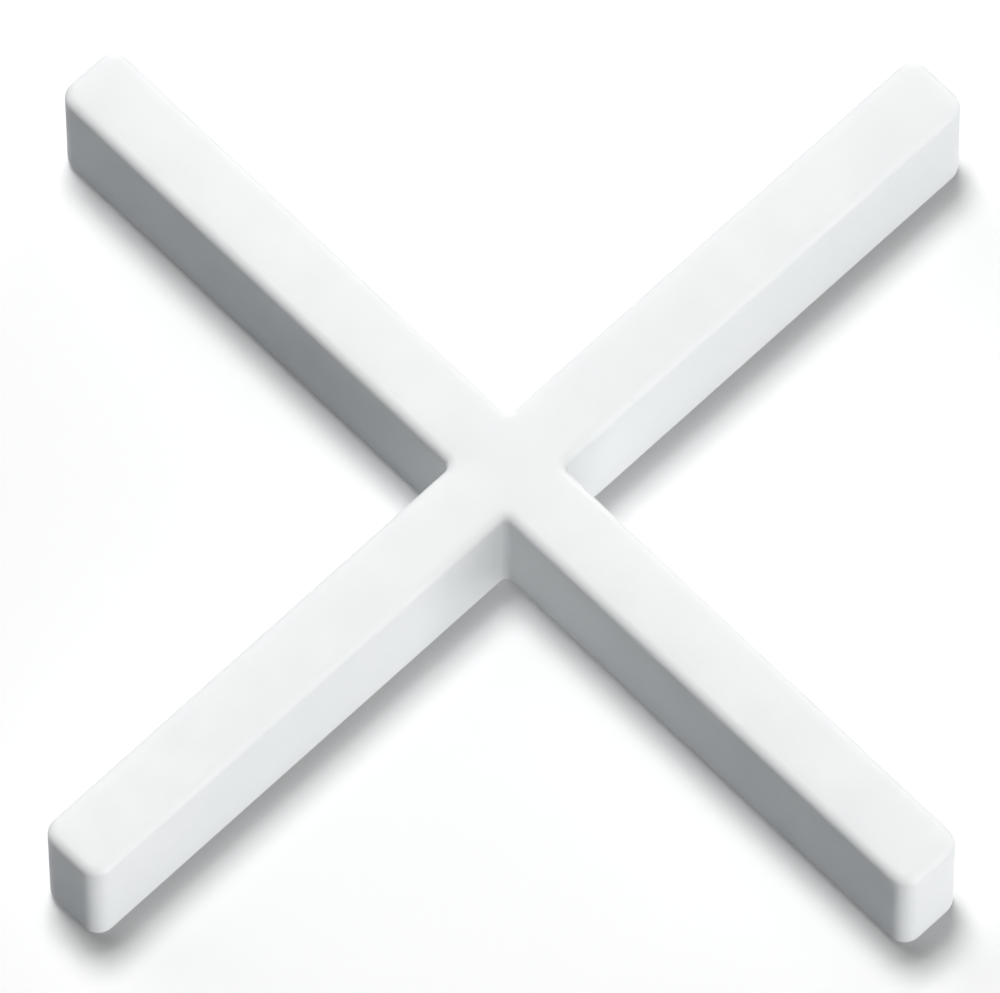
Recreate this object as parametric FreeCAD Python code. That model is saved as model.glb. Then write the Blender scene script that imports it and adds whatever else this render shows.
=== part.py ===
import FreeCAD, Part
import math
import os

# Cross-shaped tile spacer, moulded in one piece from soft white plastic.
# Four equal arms meet at right angles, so that the corners of four tiles can sit in the angles between them.
# Units are millimetres. The origin is the middle of the underside, the arms lie along X and Y, and +Z is up.

# Driving sizes
joint_width = 2.0        # gap left between two tiles, which is the width of every arm
tip_to_tip = 30.4        # from the end of one arm to the end of the arm opposite
body_height = 4.0        # from the underside to the top
edge_round = 0.3         # rolled edge round the outline of the top and of the underside
tip_round = 0.5          # upright corners at the end of each arm
inner_round = 0.2        # upright corners where two arms meet

arm_count = 4
quarter_turn = 360.0 / arm_count
up = FreeCAD.Vector(0, 0, 1)


def on_floor(x, y):
    """A point of the outline, on the underside."""
    return FreeCAD.Vector(x, y, 0)


def quarter_arc(centre, radius, start_angle, end_angle):
    """A round corner in plan, given by its centre and the angles it runs between, in degrees."""
    def at(angle):
        turn = math.radians(angle)
        return centre + FreeCAD.Vector(radius * math.cos(turn), radius * math.sin(turn), 0)
    return Part.Arc(at(start_angle), at((start_angle + end_angle) / 2), at(end_angle)).toShape()


def arm_outline():
    """The outline of the arm along +X: its flank, rounded end and other flank, and the inner corner that follows."""
    half_width = joint_width / 2
    reach = tip_to_tip / 2
    root = half_width + inner_round
    shoulder = reach - tip_round
    cheek = half_width - tip_round
    return [
        Part.LineSegment(on_floor(root, -half_width), on_floor(shoulder, -half_width)).toShape(),
        quarter_arc(on_floor(shoulder, -cheek), tip_round, -90, 0),
        Part.LineSegment(on_floor(reach, -cheek), on_floor(reach, cheek)).toShape(),
        quarter_arc(on_floor(shoulder, cheek), tip_round, 0, 90),
        Part.LineSegment(on_floor(shoulder, half_width), on_floor(root, half_width)).toShape(),
        quarter_arc(on_floor(root, root), inner_round, 270, 180),
    ]


def cross_outline():
    """The closed outline of the cross: the outline of one arm, repeated at each quarter turn."""
    edges = []
    for arm in range(arm_count):
        for edge in arm_outline():
            edge.rotate(on_floor(0, 0), up, arm * quarter_turn)
            edges.append(edge)
    return Part.Wire(edges)


def rim_edges(solid):
    """The edges that lie in the plane of the top or of the underside, which are the ones to be rolled."""
    flat = 1e-6
    return [
        edge
        for edge in solid.Edges
        if edge.BoundBox.ZLength < flat
        and min(abs(edge.BoundBox.ZMin), abs(edge.BoundBox.ZMin - body_height)) < flat
    ]


def spacer():
    """The whole spacer: the outline raised to its height, with both rims rolled."""
    block = Part.Face(cross_outline()).extrude(up * body_height)
    return block.makeFillet(edge_round, rim_edges(block))


os.makedirs("parts", exist_ok=True)
spacer().exportStep("parts/spacer_cross.step")
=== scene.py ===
import bmesh
import bpy
import math
import numpy as np
from mathutils import Matrix, Vector


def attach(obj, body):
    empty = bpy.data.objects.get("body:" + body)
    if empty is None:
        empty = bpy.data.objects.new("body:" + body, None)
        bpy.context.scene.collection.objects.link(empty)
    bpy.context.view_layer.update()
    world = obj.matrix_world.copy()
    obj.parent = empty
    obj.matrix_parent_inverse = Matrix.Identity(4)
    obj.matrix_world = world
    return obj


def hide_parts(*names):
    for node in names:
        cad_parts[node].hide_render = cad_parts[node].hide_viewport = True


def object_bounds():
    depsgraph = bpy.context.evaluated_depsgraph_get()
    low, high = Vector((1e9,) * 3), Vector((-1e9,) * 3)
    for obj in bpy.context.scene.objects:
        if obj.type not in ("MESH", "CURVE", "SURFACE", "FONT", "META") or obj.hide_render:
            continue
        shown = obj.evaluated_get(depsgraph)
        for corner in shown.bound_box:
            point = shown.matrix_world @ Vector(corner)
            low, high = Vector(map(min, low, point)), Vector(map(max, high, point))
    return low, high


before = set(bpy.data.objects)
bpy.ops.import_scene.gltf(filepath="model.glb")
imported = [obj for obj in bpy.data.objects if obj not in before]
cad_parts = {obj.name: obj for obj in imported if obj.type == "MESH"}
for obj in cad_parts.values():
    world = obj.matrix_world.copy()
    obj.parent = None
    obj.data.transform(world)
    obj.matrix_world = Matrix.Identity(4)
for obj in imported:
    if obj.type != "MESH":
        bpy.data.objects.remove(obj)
cad_low, cad_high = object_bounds()


# The spacer is one plain cross, injection moulded in soft white polyethylene, and lies loose on the sheet.
# Its four equal arms are two joint widths high. Both rims are rolled all the way round, and the top is
# crowned by a few hundredths of a millimetre along each arm, so that light slides off it to both sides.
mm = 0.001
joint_width = 2.0 * mm
edge_round = 0.3 * mm
tip_round = 0.5 * mm
inner_round = 0.2 * mm
crown = 0.04 * mm
reach = cad_high.x
body_height = cad_high.z

half_width = joint_width / 2
root = half_width + inner_round
shoulder = reach - tip_round
cheek = half_width - tip_round
crown_slope = math.atan(2 * crown / (half_width - edge_round))
rim_end = math.pi / 2 - crown_slope
rim_level = body_height - crown - edge_round * math.sin(rim_end)

flank_step = 0.15 * mm
flank_steps = round((shoulder - root) / flank_step)
flank_rows = 24
arc_steps = 9
inner_steps = 2 * arc_steps
end_steps = 8
face_steps = 8
one_point = 0.002 * mm
no_edge = 0.001 * mm


def in_plan(x, y):
    """Points in plan from their coordinates, spread over each other as whole arrays."""
    return np.stack(np.broadcast_arrays(x, y), axis=-1)


def arc(centre_x, centre_y, radius, start_angle, end_angle, steps):
    """A corner: the centre plus the radius, turned evenly from one angle to a step short of the other."""
    angle = np.radians(np.linspace(start_angle, end_angle, steps, endpoint=False))
    return in_plan(centre_x + radius * np.cos(angle), centre_y + radius * np.sin(angle))


def arm_outline(inset):
    """The arm along +X in plan: flank, rounded end, flank, and the inner corner to the next arm. Drawing it
    in takes the inset off the outward corners' radius and adds it to the inner corner's, so the rim stays
    even. The inset is a column of values, and each gives a row of points."""
    half = half_width - inset
    outward = np.linspace(root, shoulder, flank_steps, endpoint=False)
    across = np.linspace(-cheek, cheek, end_steps, endpoint=False)
    homeward = np.linspace(shoulder, root, flank_steps, endpoint=False)
    return np.concatenate([
        in_plan(outward, -half),
        arc(shoulder, -cheek, tip_round - inset, -90, 0, arc_steps),
        in_plan(reach - inset, across),
        arc(shoulder, cheek, tip_round - inset, 0, 90, arc_steps),
        in_plan(homeward, half),
        arc(root, root, inner_round + inset, 270, 180, inner_steps),
    ], axis=1)


def arm_spine(outline):
    """The centre line that each outline point of an arm faces: the point's own x on the arm's axis, held
    short of the end by half the width. The inner corner's points run back along this arm's axis to the
    crossing, then out along the next arm's."""
    spine = np.zeros_like(outline)
    spine[..., 0] = np.minimum(outline[..., 0], reach - half_width)
    share = np.linspace(0, 1, inner_steps, endpoint=False)
    spine[:, -inner_steps:, 0] = root * np.clip(1 - 2 * share, 0, 1)
    spine[:, -inner_steps:, 1] = root * np.clip(2 * share - 1, 0, 1)
    return spine


def round_the_cross(points):
    """An arm's points in plan, repeated at each quarter turn: (x, y), (-y, x), (-x, -y) and (y, -x)."""
    turned = points @ [[0, 1], [-1, 0]]
    return np.concatenate([points, turned, -points, -turned], axis=1)


def profile():
    """The profile's rows, from the centre line of the underside out to the rim, up the flank, and back over
    the top to its centre line. Each row has an inset: at angle a of a rim, the outline is drawn in by the
    rim's radius times (1 - cos a). It has a share of the way from there to the centre line. And it has a
    height: on a rim it is the radius times sin a from the flank's end, and on the top the crown falls by the
    square of the way out."""
    outward = np.linspace(1, 0, face_steps, endpoint=False)
    lower_rim = np.linspace(-math.pi / 2, 0, arc_steps, endpoint=False)
    flank = np.linspace(edge_round, rim_level, flank_rows, endpoint=False)
    upper_rim = np.linspace(0, rim_end, arc_steps, endpoint=False)
    inward = np.linspace(0, 1, face_steps + 1)
    inset = np.concatenate([
        np.full_like(outward, edge_round),
        edge_round * (1 - np.cos(lower_rim)),
        np.zeros_like(flank),
        edge_round * (1 - np.cos(upper_rim)),
        np.full_like(inward, edge_round * (1 - math.cos(rim_end))),
    ])
    share = np.concatenate([
        outward,
        np.zeros(len(lower_rim) + len(flank) + len(upper_rim)),
        inward,
    ])
    height = np.concatenate([
        np.zeros_like(outward),
        edge_round * (1 + np.sin(lower_rim)),
        flank,
        rim_level + edge_round * np.sin(upper_rim),
        body_height - crown * (1 - inward) ** 2,
    ])
    return inset, share, height


def cross_surface():
    """The skin of the cross as a grid, the profile's rows by the outline's points. A point lies between the
    drawn-in outline and the centre line that it faces, at its row's share and height."""
    inset, share, height = profile()
    outline = round_the_cross(arm_outline(inset[:, None]))
    spine = round_the_cross(arm_spine(arm_outline(np.zeros((1, 1)))))
    share = share[:, None, None]
    flat = outline * (1 - share) + spine * share
    return np.dstack([flat, np.broadcast_to(height[:, None], flat.shape[:2])])


def skin_mesh(name, points):
    """A mesh of the grid's quads, closed round the outline. Points that meet on the centre lines become one,
    and the faces that this leaves without a side are taken out."""
    rows, columns = points.shape[:2]
    row = np.arange(rows - 1)[:, None] * columns
    here = np.arange(columns)[None, :]
    ahead = (here + 1) % columns
    corners = [row + here, row + ahead, row + columns + ahead, row + columns + here]
    quads = np.stack(corners, axis=-1).reshape(-1, 4)
    mesh = bpy.data.meshes.new(name)
    mesh.from_pydata(points.reshape(-1, 3), [], quads.tolist())
    shell = bmesh.new()
    shell.from_mesh(mesh)
    bmesh.ops.remove_doubles(shell, verts=shell.verts, dist=one_point)
    bmesh.ops.dissolve_degenerate(shell, edges=shell.edges, dist=no_edge)
    bmesh.ops.recalc_face_normals(shell, faces=shell.faces)
    shell.to_mesh(mesh)
    shell.free()
    mesh.shade_smooth()
    return mesh


clouded_white = (0.865, 0.885, 0.885, 1)
clear_white = (0.890, 0.900, 0.900, 1)
smoothest = 0.52
roughest = 0.64
ripple_depth = 0.012 * mm
grain_depth = 0.0025 * mm
refraction = 1.51
scattered_share = 0.2
scatter_depth = 0.35 * mm
scatter_by_colour = (1.0, 0.95, 0.9)


def moulded_polyethylene():
    """White polyethylene as it leaves the mould: a cool near-white, clouded very faintly, with a satin skin
    whose roughness drifts, a fine spark-eroded grain and a slow ripple. Light goes a little way into it."""
    material = bpy.data.materials.new("white_polyethylene")
    material.use_nodes = True
    nodes = material.node_tree.nodes
    links = material.node_tree.links
    plastic = nodes["Principled BSDF"]
    place = nodes.new("ShaderNodeTexCoord")

    def noise(per_metre, detail, roughness):
        """A soft random pattern, with this many swells to a metre."""
        cloud = nodes.new("ShaderNodeTexNoise")
        cloud.inputs["Scale"].default_value = per_metre
        cloud.inputs["Detail"].default_value = detail
        cloud.inputs["Roughness"].default_value = roughness
        links.new(place.outputs["Object"], cloud.inputs["Vector"])
        return cloud.outputs["Fac"]

    def between(pattern, low, high):
        """The pattern, which keeps mostly within 0.3 and 0.7, stretched to run from low to high."""
        span = nodes.new("ShaderNodeMapRange")
        span.inputs["From Min"].default_value = 0.3
        span.inputs["From Max"].default_value = 0.7
        span.inputs["To Min"].default_value = low
        span.inputs["To Max"].default_value = high
        links.new(pattern, span.inputs["Value"])
        return span.outputs["Result"]

    clouds = noise(per_metre=420, detail=4, roughness=0.55)
    drift = noise(per_metre=900, detail=3, roughness=0.5)
    ripples = noise(per_metre=700, detail=2, roughness=0.4)
    grains = noise(per_metre=14000, detail=2, roughness=0.5)

    tint = nodes.new("ShaderNodeMix")
    tint.data_type = "RGBA"
    tint.inputs["A"].default_value = clouded_white
    tint.inputs["B"].default_value = clear_white
    links.new(between(clouds, 0, 1), tint.inputs["Factor"])
    links.new(tint.outputs["Result"], plastic.inputs["Base Color"])
    links.new(between(drift, smoothest, roughest), plastic.inputs["Roughness"])

    ripple = nodes.new("ShaderNodeBump")
    ripple.inputs["Distance"].default_value = ripple_depth
    links.new(ripples, ripple.inputs["Height"])
    grain = nodes.new("ShaderNodeBump")
    grain.inputs["Distance"].default_value = grain_depth
    links.new(grains, grain.inputs["Height"])
    links.new(ripple.outputs["Normal"], grain.inputs["Normal"])
    links.new(grain.outputs["Normal"], plastic.inputs["Normal"])

    plastic.inputs["IOR"].default_value = refraction
    plastic.inputs["Subsurface Weight"].default_value = scattered_share
    plastic.inputs["Subsurface Radius"].default_value = scatter_by_colour
    plastic.inputs["Subsurface Scale"].default_value = scatter_depth
    return material


spacer = bpy.data.objects.new("moulded_cross", skin_mesh("moulded_cross", cross_surface()))
bpy.context.scene.collection.objects.link(spacer)
spacer.data.materials.append(moulded_polyethylene())
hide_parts("spacer_cross")
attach(spacer, "root")


# The floor is a broad translucent white sheet, as on a light table: it stops no lamp's light from below. The
# eye and reflections see it white outside the spacer's soft shadow. It throws as little light back up as a
# grey card, and before the lit flanks, in the crease under their rims, a shade is painted into its white.
floor_side = 2.0
floor_gap = 0.01 * mm
card_colour = (0.245, 0.267, 0.292, 1)
seen_white = 1.0
seen_glow = 0.066
# The painted shade in the crease: how far it reaches, the white it falls to, and the rays it takes.
crease_width = 0.6 * mm
crease_shade_white = 0.6
crease_rays = 2

corner = floor_side / 2
level = cad_low.z - floor_gap
floor_mesh = bpy.data.meshes.new("floor")
floor_mesh.from_pydata(
    [(-corner, -corner, level), (corner, -corner, level), (corner, corner, level), (-corner, corner, level)],
    [], [(0, 1, 2, 3)],
)
floor = bpy.data.objects.new("floor", floor_mesh)
bpy.context.scene.collection.objects.link(floor)
floor.visible_shadow = False


def reckon(nodes, links, operation, first, second):
    """One sum in a material, on the outcomes of two of its nodes."""
    step = nodes.new("ShaderNodeMath")
    step.operation = operation
    links.new(first, step.inputs[0])
    links.new(second, step.inputs[1])
    return step.outputs["Value"]


def seen_directly(nodes, links):
    """1 on a ray from the camera, a reflection or a transmission, and 0 on light that is bounced on: the
    greatest of the three marks that tell what kind a ray is."""
    path = nodes.new("ShaderNodeLightPath")
    seen = reckon(nodes, links, "MAXIMUM", path.outputs["Is Camera Ray"], path.outputs["Is Glossy Ray"])
    return reckon(nodes, links, "MAXIMUM", seen, path.outputs["Is Transmission Ray"])


def white_with_painted_shade(nodes, links):
    """The sheet's white with a painted shade: it falls off in the crease before a flank that faces -Y, where
    something stands close by on the +Y side and nothing on the -Y side, as much as the -Y side is more open."""
    openness = []
    for facing in (1, -1):
        around = nodes.new("ShaderNodeAmbientOcclusion")
        around.samples = crease_rays
        around.inputs["Distance"].default_value = crease_width
        way = nodes.new("ShaderNodeCombineXYZ")
        way.inputs["Y"].default_value = facing
        links.new(way.outputs["Vector"], around.inputs["Normal"])
        openness.append(around.outputs["AO"])
    # Painted shade: how much more open the -Y side is than the +Y side.
    crease = reckon(nodes, links, "SUBTRACT", openness[1], openness[0])
    fall = nodes.new("ShaderNodeMapRange")
    fall.inputs["To Min"].default_value = seen_white
    fall.inputs["To Max"].default_value = crease_shade_white
    links.new(crease, fall.inputs["Value"])
    return fall.outputs["Result"]


paper = bpy.data.materials.new("floor_sheet")
paper.use_nodes = True
nodes = paper.node_tree.nodes
links = paper.node_tree.links
nodes.clear()
white = nodes.new("ShaderNodeBsdfDiffuse")
# The sheet's colour carries the painted crease shade.
links.new(white_with_painted_shade(nodes, links), white.inputs["Color"])
glow = nodes.new("ShaderNodeEmission")
glow.inputs["Strength"].default_value = seen_glow
bright = nodes.new("ShaderNodeAddShader")
links.new(white.outputs["BSDF"], bright.inputs[0])
links.new(glow.outputs["Emission"], bright.inputs[1])
card = nodes.new("ShaderNodeBsdfDiffuse")
card.inputs["Color"].default_value = card_colour
sheet = nodes.new("ShaderNodeMixShader")
links.new(seen_directly(nodes, links), sheet.inputs["Fac"])
links.new(card.outputs["BSDF"], sheet.inputs[1])
links.new(bright.outputs["Shader"], sheet.inputs[2])
surface = nodes.new("ShaderNodeOutputMaterial")
links.new(sheet.outputs["Shader"], surface.inputs["Surface"])
floor.data.materials.append(paper)


# The light is soft. A small box high up gives the near sides their close shadow, and a broad one behind
# widens it. A low strip at the near side, half of it under the sheet's level, lights the flanks that face -Y
# evenly from rim to rim. Two weaker strips keep the far rims and the outer ends of the dark flanks light.
lamp_distance = 0.6
room_colour = (0.93, 0.97, 1.0, 1)
room_fill = 0.017
backdrop_white = (1, 1, 1, 1)


def soft_box(name, azimuth, elevation, wide, tall, power):
    """A flat lamp, turned to face the spacer from the lamps' distance. Azimuth is from +X towards +Y."""
    lamp = bpy.data.lights.new(name, "AREA")
    lamp.shape = "RECTANGLE"
    lamp.size = wide
    lamp.size_y = tall
    lamp.energy = power
    box = bpy.data.objects.new(name, lamp)
    away = Vector((
        math.cos(math.radians(azimuth)) * math.cos(math.radians(elevation)),
        math.sin(math.radians(azimuth)) * math.cos(math.radians(elevation)),
        math.sin(math.radians(elevation)),
    ))
    box.location = away * lamp_distance
    box.rotation_mode = "QUATERNION"
    box.rotation_quaternion = away.to_track_quat("Z", "Y")
    box.visible_camera = False
    bpy.context.scene.collection.objects.link(box)


soft_box("high_soft_box", azimuth=62, elevation=78, wide=0.15, tall=0.15, power=2.38)
soft_box("rear_soft_box", azimuth=90, elevation=45, wide=0.5, tall=0.5, power=1.29)
soft_box("near_low_strip", azimuth=-87, elevation=-3, wide=0.2, tall=0.24, power=2.68)
soft_box("right_low_strip", azimuth=15, elevation=6, wide=0.3, tall=0.1, power=1.17)
soft_box("left_low_strip", azimuth=210, elevation=4.5, wide=0.2, tall=0.08, power=0.18)

world = bpy.data.worlds.new("room")
bpy.context.scene.world = world
world.use_nodes = True
nodes = world.node_tree.nodes
links = world.node_tree.links
fill = nodes["Background"]
fill.inputs["Color"].default_value = room_colour
fill.inputs["Strength"].default_value = room_fill
backdrop = nodes.new("ShaderNodeBackground")
backdrop.inputs["Color"].default_value = backdrop_white
room = nodes.new("ShaderNodeMixShader")
links.new(seen_directly(nodes, links), room.inputs["Fac"])
links.new(fill.outputs["Background"], room.inputs[1])
links.new(backdrop.outputs["Background"], room.inputs[2])
links.new(room.outputs["Shader"], nodes["World Output"].inputs["Surface"])


# The camera looks down steeply between two arms, from far off with a long lens, so that the arms hardly
# taper. It aims at the middle of the cross at half height, and a slight roll and offset follow the
# photograph.
picture_width = 1000
pixels_per_length = 1215.3
lengths_away = 20
camera_azimuth = math.radians(-43.78)
camera_elevation = math.radians(66.17)
camera_roll = math.radians(-0.45)
moved_right = 7.1
moved_down = -0.8
film_width = 36
nearest_seen = 0.01
farthest_seen = 10

tip_to_tip = 2 * reach
pixel = tip_to_tip / pixels_per_length
back = Vector((
    math.sin(camera_azimuth) * math.cos(camera_elevation),
    -math.cos(camera_azimuth) * math.cos(camera_elevation),
    math.sin(camera_elevation),
))
level_right = Vector((math.cos(camera_azimuth), math.sin(camera_azimuth), 0))
level_up = back.cross(level_right)
right = level_right * math.cos(camera_roll) + level_up * math.sin(camera_roll)
upward = level_up * math.cos(camera_roll) - level_right * math.sin(camera_roll)
aim = Vector((0, 0, body_height / 2)) - right * moved_right * pixel + upward * moved_down * pixel

lens = bpy.data.cameras.new("camera")
lens.sensor_width = film_width
lens.lens = film_width * pixels_per_length * lengths_away / picture_width
lens.clip_start = nearest_seen
lens.clip_end = farthest_seen
camera = bpy.data.objects.new("camera", lens)
turn = Matrix((right, upward, back)).transposed().to_4x4()
camera.matrix_world = Matrix.Translation(aim + back * lengths_away * tip_to_tip) @ turn
bpy.context.scene.collection.objects.link(camera)
bpy.context.scene.camera = camera
bpy.context.scene.view_settings.view_transform = "Standard"
